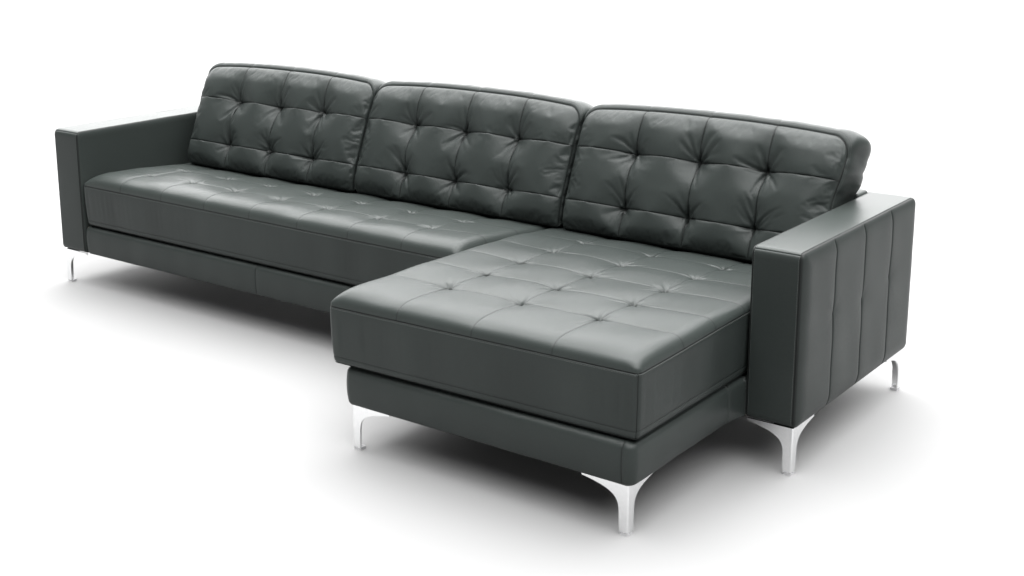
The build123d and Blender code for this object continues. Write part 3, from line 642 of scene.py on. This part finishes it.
def cushion(side, x0, seed, out_left, out_right, over_arm):
    gen = np.random.default_rng(seed)
    W2, H, T = 0.475, 0.4282, 0.180
    origin = D(x0 + 475.0, fy0, 452.0)
    U, V, N = (1, 0, 0), (0, s22, c22), (0, -c22, s22)
    cols = [-0.2375, 0.0, 0.2375]
    rowsy = [0.0975, 0.2825]
    tufts = [(a, b) for a in cols for b in rowsy]
    rect = (-W2 + 0.003, W2 - 0.003, -0.003, H - 0.010)
    us = spaced(rect[0], rect[1], cols, 0.0046)
    vs = spaced(rect[2], rect[3], rowsy, 0.0046)

    def front(x, y, e):
        et, eb, es = rect[3] - y, y - rect[2], np.minimum(x - rect[0], rect[1] - x)
        crown = 0.026 - 0.034 * (1 - quarter(et, 0.125)) - 0.023 * (1 - quarter(es, 0.062)) \
            - 0.036 * (1 - quarter(eb, 0.105)) - 0.004 * (1 - quarter(e, 0.022))
        dome = domes(x, y, cols, rowsy, rect, 0.004, gen)
        dim = tuft_dimples(x, y, tufts, 0.025, 0.056, 0.012, 0.0110)
        boost = near_tuft(x, y, tufts, 0.040)
        seam, ln = seam_lines(x, y, cols, rowsy, 0.0012, 0.0070, 0.010, boost, 0.12, wide=0.0024)
        fold = tuft_creases(x, y, tufts, 0.0066, 0.050, 0.0052, 12, gen, pick_updown)
        edge = smooth01(e / 0.03)
        pinch = sum(np.exp(-np.abs(x - c) / 0.010) for c in cols) * 0.005 * np.exp(-et / 0.024)
        d = crown + dome - dim - seam * smooth01(e / 0.010) - pinch + fold * edge + drift(x, y, gen, 0.0013, 0.14) * edge
        r = np.min([np.hypot(x - a, y - b) for a, b in tufts], axis=0)
        d = np.where(r < 0.035, np.maximum(d, TUFT_FLOOR), d)
        # painted shade along the seams, in the tuft hollows and in the crease valleys; painted highlight on the crease
        # ridges
        w = 0.54 - 0.56 * ln - 0.42 * np.clip((dim - 0.013) / 0.020, 0, 1) + 20.0 * fold
        return d, np.clip(w, 0.0, 0.95)

    def back(x, y, e):
        d = -T + 0.014 - 0.018 * quarter(e, 0.07)
        return d, np.full_like(x, 0.5)

    pk = {}

    def row(R, s):
        if not pk:
            pk["a"], pk["b"], pk["c"] = R.noise(gen, 0.017), R.noise(gen, 0.060), R.noise(gen, 0.045)
        k = (4 * s * (1 - s)) ** 0.5
        top, low = smooth01((R.ny - 0.1) / 0.7), smooth01((-R.ny - 0.1) / 0.7)
        high = smooth01((R.y - 0.215) / 0.075)
        bulge = np.maximum(-R.nx, 0) * out_left + np.maximum(R.nx, 0) * (out_right + over_arm * high) + 0.006 * low
        upright = np.clip(1.3 * np.abs(R.nx), 0.3, 1)
        pucker = (0.0038 * pk["a"] * (np.exp(-s / 0.17) + np.exp(-(1 - s) / 0.2)) + 0.0030 * pk["b"] * k
                  + 0.0024 * pk["c"] * math.sin(2 * math.pi * s)) * upright * (1 - low)
        # painted shade and highlight: the boxing is painted darker where its puckers sink in and paler where they
        # stand out
        return bulge * k + 0.035 * top * (4 * s * (1 - s)) ** 0.36 + pucker * k, np.clip(0.53 + 40 * pucker, 0.2, 0.8)

    ss = [0.0003, 0.003, 0.010, 0.03, 0.06] + list(np.linspace(0.10, 0.90, 16)) + [0.94, 0.97, 0.990, 0.997, 0.9997]
    sl = Slab(f"{side}_back_cushion", origin, U, V, N, rect, (0.016, 0.058), us, vs, front, back, [(s, row) for s in ss],
              back_rect=(-W2 + 0.010, W2 - 0.010, 0.066, H - 0.012), back_radius=(0.016, 0.050), groove=0.0022)
    # the top edge arches between its corners, and the end over the arm leans out
    P = sl.verts - origin
    px, py = P @ np.array(U, float), P @ np.array(V, float)
    arch = 0.021 * np.maximum(0, 1 - np.abs(px / W2) ** 2.6) * np.clip((py - 0.295) / 0.123, 0, 1) ** 1.15
    lean = 0.9 * over_arm * smooth01((py - 0.205) / 0.13) * smooth01((px - 0.15) / 0.3)
    sl.verts += arch[:, None] * np.array(V, float) + lean[:, None] * np.array(U, float)
    x, y, e = sl.front_xy
    r = np.min([np.hypot(x - a, y - b) for a, b in tufts], axis=0)
    # the top edge is pulled smooth over its filling
    ease = 0.30 + 0.70 * smooth01((rect[3] - y) / 0.065)
    settle(sl, (e < 0.003) | (r < 0.006), ease, *CLOTH)
    # the tufts stay in front of the ties that hold them
    ids = sl.idx_f.reshape(-1)
    depth = (sl.verts[ids] - origin) @ sl.N
    push = np.where(r.reshape(-1) < 0.035, np.maximum(0.0, TUFT_FLOOR - depth), 0.0)
    sl.verts[ids] += push[:, None] * sl.N
    ob = sl.build()
    stitch_loop(f"{side}_cushion", sl.verts[sl.loops[4]], sl.n3)
    finish_piece(ob, f"{side}_cushion", (f"{side}_cushion_cover", f"{side}_cushion_foam"))
    return sl


TUFT_FLOOR = -0.0182
CLOTH = (18, 2.5, 0.026, 0.16, 14.0, 0.016)
CUSHIONS = [cushion("left", 222.0, 11, 0.014, 0.003, 0.0), cushion("centre", 1177.0, 12, 0.003, 0.005, 0.0),
            cushion("right", 2139.0, 13, 0.004, 0.006, 0.017)]


# =====================================================================
# seats
# =====================================================================
def seat(name, body, x0, x1, y0, y1, cols, rowsy, radius, profile, reach, seed, step, seam_z, bottom_z, nodes, corner_seams, skew=0.0):
    gen = np.random.default_rng(seed)
    origin = D(0, 0, 0)
    mm = 0.001
    rect = (x0 * mm, x1 * mm, y0 * mm, y1 * mm)
    cols = [c * mm for c in cols]; rowsy = [r * mm for r in rowsy]
    tufts = [(a, b) for a in cols for b in rowsy]
    fine = (0.0014, 0.0035, 0.0060, 0.0090, 0.0125, 0.0165, 0.0215, 0.0275)
    rim = (0.00001, 0.0001, 0.0005, 0.0018, 0.0050, 0.0105, 0.0180)
    us, vs = spaced(rect[0], rect[1], cols, step, rim, fine), spaced(rect[2], rect[3], rowsy, step, rim, fine)
    r_left, r_right, r_front, r_rear = reach

    def front(x, y, e):
        top = profile(y * 1000) * mm
        q = quarter(x - rect[0], r_left) * quarter(rect[1] - x, r_right) * shoulder(y - rect[2], r_front) * quarter(rect[3] - y, r_rear)
        q = np.minimum(q, quarter(e, 0.03))
        low = seam_z(x * 1000, y * 1000) * mm
        z = low + (top - low) * q
        dome = domes(x, y, cols, rowsy, rect, 0.0020, gen)
        dim = tuft_dimples(x, y, tufts, 0.0072, 0.044, 0.0195, 0.0072)
        boost = near_tuft(x, y, tufts, 0.026)
        lengthwise, ln_c = seam_lines(x, y, cols, (), 0.0009, 0.0050, 0.0070, boost, 0.20)
        across, ln_r = seam_lines(x, y, (), rowsy, 0.0006, 0.0046, 0.0062, boost, 0.06, wide=0.0026)
        seam = np.maximum(lengthwise, across)
        fold = tuft_creases(x, y, tufts, 0.0056, 0.040, 0.0040, 7, gen, pick_all)
        edge = smooth01(e / 0.03)
        d = z + dome * q - dim - seam * smooth01(e / 0.010) + fold * edge + drift(x, y, gen, 0.0012, 0.20) * edge
        # the tufts stay above the ties that hold them
        r = np.min([np.hypot(x - a, y - b) for a, b in tufts], axis=0)
        d = np.where(r < 0.035, np.maximum(d, 0.4240), d)
        # painted shade in the seam grooves, strongest near the tufts and from the outer tufts to the seams; painted
        # shade in the tuft hollows and crease valleys, painted highlight on the crease ridges
        outer = np.maximum(0.95 * (y < rowsy[0]), smooth01((x - cols[-1] - 0.04) / 0.14))
        vis = np.maximum(near_tuft(x, y, tufts, 0.045), outer)
        # painted light: the bench's plain top is painted paler than the chaise's
        plain = 0.54 if corner_seams else 0.68
        w = plain - (plain - 0.04) * np.maximum(ln_c * (0.42 + 0.58 * vis), ln_r * (0.11 + 0.89 * vis)) \
            - 0.50 * np.clip((dim - 0.007) / 0.010, 0, 1) + 18.0 * fold
        return d, np.clip(w, 0.0, 0.95)

    def back(x, y, e):
        return np.full_like(x, bottom_z * mm), np.full_like(x, 0.45)

    pk = {}

    def row(R, s):
        if not pk:
            pk["a"], pk["b"] = R.noise(gen, 0.014), R.noise(gen, 0.090)
        k = (4 * s * (1 - s)) ** 0.4 if s < 0.5 else (4 * s * (1 - s)) ** 0.32
        near = sum(np.exp(-R.from_corner(c) / 0.12) for c in range(4))
        wrinkle = 0.0008 * pk["a"] * (0.12 + near) * np.exp(-((s - 0.45) / 0.33) ** 2) + 0.0007 * pk["b"] * k
        cut = sum(np.exp(-R.from_corner(c) / 0.0012) for c in corner_seams) if corner_seams else R.zero
        lower = math.exp(-((s - 0.875) / 0.008) ** 2)
        side = np.where(np.abs(R.nx) > 0.7, 0.0022, 0.0050)
        # the seam's lip stands out along the right side and round the free corner, with a painted highlight on it
        lip = smooth01((R.nx - 0.4) / 0.4)
        if corner_seams:
            lip = np.maximum(lip, 0.9 * np.exp(-R.from_corner(1) / 0.10))
        welt_and_highlight = math.exp(-((s - 0.016) / 0.010) ** 2) * lip
        # painted shade and highlight: the boxing is painted darker than the top, darker at the corner and lower seams
        # and where wrinkles sink, paler where they stand out and on the lip
        return side * k + wrinkle + 0.0020 * welt_and_highlight - 0.0022 * cut - 0.0015 * lower - 0.004 * max(0, (s - 0.93) / 0.07) ** 2, \
            np.clip(0.45 - 0.40 * cut - 0.30 * lower + 45 * wrinkle + 0.53 * welt_and_highlight, 0.05, 0.98)

    ss = [0.006, 0.016, 0.03, 0.07] + list(np.linspace(0.13, 0.84, 12)) + [0.862, 0.875, 0.888, 0.91, 0.94, 0.965, 0.985, 0.996]
    sl = Slab(name, origin, (1, 0, 0), (0, 1, 0), (0, 0, 1), rect, radius, us, vs, front, back, [(s, row) for s in ss],
              back_rect=(rect[0] + 0.006, rect[1] - 0.006, rect[2] + 0.006, rect[3] - 0.006), back_radius=radius)
    if skew:
        # the loose seat lies a little out of square at its front
        v = sl.verts
        xx = (v[:, 0] - D(x0, 0)[0]) / (D(x1, 0)[0] - D(x0, 0)[0])
        v[:, 1] += skew * xx * np.clip((D(0, 0)[1] - v[:, 1]) / 0.6, 0, 1)
    stitch_loop(body, sl.verts[sl.loops[3]], sl.n3)
    finish_piece(sl.build(), body, nodes)
    return sl


def bench_profile(y):
    return np.interp(y, [0, 90, 165, 343, 440, 500, 640], [472, 475, 473, 459, 447, 438, 428])


def chaise_profile(y):
    return np.interp(y, [-600, -480, -200, 100, 300, 440, 500, 640], [478, 480, 478, 472, 461, 447, 438, 428])


BENCH_COLS = [157 + (2076 - 157) * k / 8 for k in range(1, 8)]
BENCH = seat("bench_seat", "sofa", 160, 2073, 5, 638, BENCH_COLS, [165, 343, 521], 0.022, bench_profile,
             (0.115, 0.035, 0.085, 0.06), 31, 0.0072, lambda x, y: 424 + 0 * x, 264, ("sofa_seat_cover", "sofa_seat_foam"), ())
CHAISE_COLS = [2079 + (3092 - 2079) * k / 4 for k in (1, 2, 3)]


def chaise_seam(x, y):
    t = np.clip((x - 2079) / 1013, 0, 1)
    return 432 + 7 * t + 8 * t * smooth01((y + 560) / 560)


CHAISE = seat("chaise_seat", "chaise", 2082, 3090, -596, 638, CHAISE_COLS, [-365, -186, -7, 172, 351, 530], 0.018,
              chaise_profile, (0.055, 0.040, 0.092, 0.06), 32, 0.0072, chaise_seam, 265, ("chaise_seat_cover", "chaise_seat_foam"),
              (0, 1), skew=0.024)


# =====================================================================
# arms
# =====================================================================
def arm(side, seed):
    gen = np.random.default_rng(seed)
    right = side == "right"
    origin = D(3250, 425, 390) if right else D(0, 425, 390)
    U, V, N = ((0, 1, 0), (0, 0, 1), (1, 0, 0)) if right else ((0, -1, 0), (0, 0, 1), (-1, 0, 0))
    rect = (-0.423, 0.423, -0.2494, 0.2485)
    cols = [-0.2115, 0.0, 0.2115]
    us, vs = spaced(rect[0], rect[1], cols, 0.009, near=(0.0010, 0.0022, 0.0040, 0.0075)), spaced(rect[2], rect[3], (), 0.009)
    pins = [(c, 0.03 + gen.normal(0, 0.006)) for c in cols]
    cross = 3 if right else 2

    def front(x, y, e):
        d = 0.007 - 0.017 * (1 - quarter(e, 0.050))
        boost = near_tuft(x, y, pins, 0.07)
        seam, ln = seam_lines(x, y, cols, (), 0.0026, 0.0024, 0.020, 0.45 + 0.55 * boost, wide=0.0028)
        fold = tuft_folds(x, y, pins, 0.0015, 0.050, 0.0060, 8, gen, pick_all)
        d = d - seam * smooth01(e / 0.012) + fold - tuft_dimples(x, y, pins, 0.0018, 0.05, 0.0016, 0.012)
        d = d + drift(x, y, gen, 0.0008, 0.2) * smooth01(e / 0.04)
        # painted shade: the outer panel is painted darker than plain hide, darker still at its seams and in the fold
        # valleys; painted highlight on the fold ridges
        return d, np.clip(0.40 - 0.40 * ln + 18 * fold, 0.0, 0.95)

    def back(x, y, e):
        d = -0.155 + 0.007 * (1 - quarter(e, 0.020)) - drift(x, y, gen, 0.0005, 0.25) * smooth01(e / 0.04)
        # painted light: the inner face is painted paler than the outer panel
        return d, np.full_like(x, 0.72)

    pk = {}

    def row(R, s):
        if not pk:
            pk["a"] = R.noise(gen, 0.11)
        k = (4 * s * (1 - s)) ** 0.5
        under = R.ny < -0.5
        cut = np.exp(-R.from_corner(cross) / 0.0012)
        # painted light: the top strip is painted paler than the upright ends; painted shade at the corner seam
        painted_panel_light = 0.42 + 0.28 * smooth01((R.ny - 0.2) / 0.6)
        return np.where(under, 0.0, 0.0016 * k + 0.0006 * k * pk["a"]) - 0.0022 * cut, np.clip(painted_panel_light - 0.45 * cut, 0.03, 1)

    ss = [0.010, 0.03, 0.07] + list(np.linspace(0.14, 0.86, 9)) + [0.93, 0.97, 0.990]
    sl = Slab(f"{side}_arm", origin, U, V, N, rect, 0.021, us, vs, front, back, [(s, row) for s in ss], groove=0.0036, seam_rings=3)
    for k in (2, -3):
        stitch_loop("chaise" if right else "sofa", sl.verts[sl.loops[k]], sl.n3)
    finish_piece(sl.build(), "chaise" if right else "sofa", (f"{side}_arm_cover", f"{side}_arm_foam"))
    return sl


ARMS = [arm("left", 41), arm("right", 42)]


# =====================================================================
# base skins: a padded band round each base
# =====================================================================
def rounded_path(pts, radii, step=0.012):
    """Closed plan outline (counter-clockwise) with a radius per corner; gives its points."""
    pts = [np.array(p, float) for p in pts]
    out = []
    n = len(pts)
    for i in range(n):
        p, a, b, r = pts[i], pts[i - 1], pts[(i + 1) % n], radii[i]
        u, v = (a - p) / np.linalg.norm(a - p), (b - p) / np.linalg.norm(b - p)
        c = p + (u + v) * r
        a0 = math.atan2(*(p + u * r - c)[::-1]); a1 = math.atan2(*(p + v * r - c)[::-1])
        da = (a1 - a0 + math.pi) % (2 * math.pi) - math.pi
        k = 10 if r > 0.008 else 4
        for j in range(k + 1):
            t = a0 + da * j / k
            out.append(c + r * np.array([math.cos(t), math.sin(t)]))
    dense = []
    for i in range(len(out)):
        a, b = out[i], out[(i + 1) % len(out)]
        m = max(1, int(np.linalg.norm(b - a) / step))
        dense += [a + (b - a) * j / m for j in range(m)]
    return np.array(dense)


def insert_seams(P, seams):
    """Adds path points close to each seam so that its groove is sharp."""
    out = []
    n = len(P)
    for i in range(n):
        a, b = P[i], P[(i + 1) % n]
        out.append(a)
        l = np.linalg.norm(b - a)
        for s in seams:
            t = np.dot(s - a, b - a) / (l * l)
            if 0 < t < 1 and np.linalg.norm(a + (b - a) * t - s) < 0.004:
                for o in (-0.0045, -0.0014, 0.0, 0.0014, 0.0045):
                    q = t + o / l
                    if 0.02 < q < 0.98:
                        out.append(a + (b - a) * q)
    return np.array(out)


def base_band(name, body, plan, radii, seams, node_name, seed, meets, tight_from, ledge=0.034):
    gen = np.random.default_rng(seed)
    seams = [D(*q)[:2] for q in seams]
    P = insert_seams(rounded_path([D(x, y)[:2] for x, y in plan], radii), seams)
    t = np.roll(P, -1, 0) - np.roll(P, 1, 0)
    t /= np.linalg.norm(t, axis=1)[:, None] + 1e-12
    nrm = np.stack([t[:, 1], -t[:, 0]], 1)
    s = np.concatenate([[0], np.cumsum(np.linalg.norm(np.diff(P, axis=0), axis=1))])
    z0, z1, out, R, r = 0.1405, 0.2565, 0.007, 0.019, 0.010
    prof = [(-ledge, z1 - 0.0005), (-0.026, z1)]
    prof += [(out - R + R * math.sin(a), z1 - R + R * math.cos(a)) for a in np.radians(np.linspace(0, 84, 9))]
    prof += [(out, z1 - R - 0.004 - (z1 - R - z0 - r - 0.008) * k / 7) for k in range(8)]
    prof += [(out - r + r * math.cos(a), z0 + r - r * math.sin(a)) for a in np.radians(np.linspace(6, 90, 6))]
    prof += [(-0.020, z0)]
    dip = np.zeros(len(P))
    soft = np.zeros(len(P))
    for q in seams:
        l = np.hypot(*(P - q).T)
        dip = np.maximum(dip, np.exp(-l / 0.0016))
        soft = np.maximum(soft, np.exp(-l / 0.012))
    total = s[-1] + np.linalg.norm(P[0] - P[-1])
    wave = sum(np.cos(2 * math.pi * s / total * round(total / L) + gen.uniform(0, 6.28)) * a
               for L, a in ((0.41, 0.0007), (0.23, 0.0005), (0.13, 0.0004)))
    free = np.where(nrm[:, 1] < -0.5, 1.0, smooth01((D(0, -20)[1] - P[:, 1]) / 0.06))
    # at the rear and where the two bases meet, the hide is pulled tight over the top edge
    tight = np.where(nrm[:, 1] > 0.5, 1.0, 0.0)
    tight = np.maximum(tight, (nrm[:, 0] * meets > 0.5) * smooth01((P[:, 1] - D(0, tight_from)[1]) / 0.05))
    # the turned-in edges are cut square at the corners
    mid = (P[:, 0].min() + P[:, 0].max()) / 2
    chain = sorted((D(x, y)[1], D(x, y)[0]) for x, y in plan if D(x, y)[0] > mid)
    right = np.interp(P[:, 1], [c[0] for c in chain], [c[1] for c in chain])

    def turned_in(l):
        return np.column_stack([np.minimum(np.maximum(P[:, 0], P[:, 0].min() + l), right - l),
                                np.clip(P[:, 1], P[:, 1].min() + l, P[:, 1].max() - l)])

    # painted shade: the band is painted a little darker than plain hide, and darker still at its seams
    verts, painted_shading_rows = [], []
    for i, (o, z) in enumerate(prof):
        if o < -0.016:
            verts.append(np.column_stack([turned_in(-o), np.full(len(P), z)]))
            painted_shading_rows.append(np.clip(0.45 - 0.40 * dip, 0.03, 1))
            continue
        k = np.clip((o + 0.016) / 0.020, 0, 1)
        if 2 <= i < 11:
            up = max(0.0, z - (z1 - 0.008))
            o = o + tight * (out - 0.008 + math.sqrt(max(0.0, 0.008 ** 2 - up * up)) - o)
        full = 0.0065 * math.sin(math.pi * np.clip((z - z0) / (z1 - z0), 0, 1)) ** 0.8
        off = o + k * (wave - 0.0016 * dip - 0.0016 * soft + full * free)
        verts.append(np.column_stack([P + nrm * np.broadcast_to(off, (len(P),))[:, None], np.full(len(P), z)]))
        painted_shading_rows.append(np.clip(0.45 - 0.40 * dip, 0.03, 1))
    L, M = len(P), len(prof)
    faces = []
    for j in range(M - 1):
        a = np.arange(L) + j * L
        b = a + L
        faces.append(np.stack([a, b, np.roll(b, -1), np.roll(a, -1)], -1))
    faces = np.concatenate(faces)
    ob = make_object(name, np.concatenate(verts), faces, LEATHER, np.concatenate(painted_shading_rows))
    # points that the square cut brought together become one
    bm = bmesh.new()
    bm.from_mesh(ob.data)
    bmesh.ops.remove_doubles(bm, verts=bm.verts, dist=2e-5)
    bmesh.ops.dissolve_degenerate(bm, dist=2e-6, edges=bm.edges)
    bm.to_mesh(ob.data)
    bm.free()
    sol = ob.modifiers.new("hide", "SOLIDIFY")
    sol.thickness = 0.0012
    sol.offset = -1
    finish_piece(ob, body, (node_name,))
    return ob


base_band("bench_base", "sofa", [(163, 17), (2112, 17), (2112, 844), (163, 844)], [0.008] * 4,
          [(1137, 17)], "sofa_base_cover", 51, 1, -60, ledge=0.064)
base_band("chaise_base", "chaise",
          [(2128.5, -570), (3072, -570), (3072, -75), (3087, 14), (3087, 844), (2128.5, 844)],
          [0.016, 0.016, 0.0004, 0.0004, 0.008, 0.008], [(3050, -570)], "chaise_base_cover", 52, -1, 10)


# =====================================================================
# backs
# =====================================================================
def back_block(name, body, x0, x1, cols, nodes, seed):
    gen = np.random.default_rng(seed)
    cx = (x0 + x1) / 2
    origin = D(cx, 0, 449)
    a, b = (x1 - x0) / 2000 - 0.0022, 0.193
    rect = (-a, a, -b - 0.0045, b - 0.001)
    us, vs = spaced(rect[0], rect[1], cols, 0.014), spaced(rect[2], rect[3], (), 0.014)
    slope = (764 - 692) / (642 - 256)

    def front(x, y, e):
        yy = (692 + (y * 1000 + 193) * slope) / 1000
        d = -yy - 0.006 * (1 - quarter(e, 0.03))
        return d, np.full_like(x, 0.5)

    def back(x, y, e):
        seam, ln = seam_lines(x, y, cols, (), 0.0014, 0.0040, 0.012, np.full_like(x, 0.6))
        d = -0.850 + 0.006 * (1 - quarter(e, 0.022)) + seam * smooth01(e / 0.012) - drift(x, y, gen, 0.0007, 0.3) * smooth01(e / 0.05)
        # painted shade along the seams on the back
        return d, np.clip(0.53 - 0.46 * ln, 0.0, 1)

    def row(R, s):
        k = (4 * s * (1 - s)) ** 0.5
        return R.zero + 0.0018 * k, 0.54

    ss = [0.012, 0.04, 0.09] + list(np.linspace(0.2, 0.8, 5)) + [0.91, 0.96, 0.988]
    sl = Slab(name, origin, (1, 0, 0), (0, 0, 1), (0, -1, 0), rect, 0.014, us, vs, front, back, [(s, row) for s in ss], groove=0.0032, seam_rings=2)
    finish_piece(sl.build(), body, nodes)
    return sl


back_block("bench_back", "sofa", 157, 2122, [-0.327, 0.327], ("sofa_back_cover", "sofa_back_foam"), 61)
back_block("chaise_back", "chaise", 2128, 3093, [0.0], ("chaise_back_cover", "chaise_back_foam"), 62)


# =====================================================================
# platform lining between the seats and the backs
# =====================================================================
def platform(name, body, x0, x1, seed):
    """A strip of black lining over the webbing; it sags a little between its edges."""
    gen = np.random.default_rng(seed)
    us, vs = np.linspace(x0, x1, int((x1 - x0) / 14)), np.linspace(545, 704, 14)
    gx, gy = np.meshgrid(us, vs, indexing="ij")
    t = (gy - vs[0]) / (vs[-1] - vs[0])
    z = 258.4 - 1.3 * np.sin(np.pi * t) + drift(gx / 1000, gy / 1000, gen, 0.35, 0.11) * np.sin(np.pi * t)
    verts = np.stack([gx / 1000 - 1.625, gy / 1000 - 0.125, z / 1000], -1).reshape(-1, 3)
    i = np.arange(gx.size).reshape(gx.shape)
    faces = np.stack([i[:-1, :-1], i[1:, :-1], i[1:, 1:], i[:-1, 1:]], -1).reshape(-1, 4)
    ob = make_object(name, verts, faces, LINING)
    sol = ob.modifiers.new("cloth", "SOLIDIFY")
    sol.thickness = 0.0008
    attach(ob, body)


platform("bench_platform", "sofa", 168, 2114, 71)
platform("chaise_platform", "chaise", 2131, 3084, 72)
sew_all()


# =====================================================================
# floor, light
# =====================================================================
def stage():
    me = bpy.data.meshes.new("floor")
    s = 40.0
    me.from_pydata([(-s, -s, 0), (s, -s, 0), (s, s, 0), (-s, s, 0)], [], [(0, 1, 2, 3)])
    ob = bpy.data.objects.new("floor", me)
    bpy.context.collection.objects.link(ob)
    m, nt, b = new_mat("floor_white")
    tc = nt.nodes.new("ShaderNodeTexCoord")
    n = node(nt, "ShaderNodeTexNoise", Scale=0.8, Detail=2.0)
    link(nt, tc.outputs["Object"], n.inputs["Vector"])
    c = ramp(nt, [(0.2, (0.218,) * 3), (0.8, (0.236,) * 3)])
    link(nt, n.outputs["Fac"], c.inputs["Fac"]); link(nt, c.outputs["Color"], b.inputs["Base Color"])
    b.inputs["Roughness"].default_value = 0.7
    b.inputs["Specular IOR Level"].default_value = 0.1
    me.materials.append(m)
    # studio: pale surround, brightest high up behind the sofa
    w = bpy.data.worlds.new("studio")
    bpy.context.scene.world = w
    w.use_nodes = True
    nt = w.node_tree
    bg = nt.nodes["Background"]
    bg.inputs["Color"].default_value = (1.0, 1.0, 1.0, 1)
    tc = nt.nodes.new("ShaderNodeTexCoord")
    dot = nt.nodes.new("ShaderNodeVectorMath"); dot.operation = "DOT_PRODUCT"
    el = math.radians(WORLD_EL)
    dot.inputs[1].default_value = (-0.59 * math.cos(el), 0.807 * math.cos(el), math.sin(el))
    link(nt, tc.outputs["Generated"], dot.inputs[0])
    mr = nt.nodes.new("ShaderNodeMapRange")
    mr.interpolation_type = "SMOOTHSTEP"
    mr.inputs["From Min"].default_value, mr.inputs["From Max"].default_value = WORLD_FROM
    mr.inputs["To Min"].default_value, mr.inputs["To Max"].default_value = WORLD_TO
    link(nt, dot.outputs["Value"], mr.inputs["Value"])
    link(nt, mr.outputs["Result"], bg.inputs["Strength"])
    bpy.context.scene.view_settings.view_transform = "Standard"

    sun = bpy.data.lights.new("soft_top", "SUN")
    sun.energy = SUN[0]
    sun.angle = math.radians(SUN[1])
    o = bpy.data.objects.new("soft_top", sun)
    o.location = (0, 0, 4)
    o.rotation_euler = (-Vector(SUN[2])).to_track_quat("-Z", "Y").to_euler()
    bpy.context.collection.objects.link(o)


SUN = (10.2, 88.0, (0.16, -0.05, 1.0))
WORLD_EL, WORLD_FROM, WORLD_TO = 44.0, (0.5, 0.97), (0.25, 5.8)
stage()
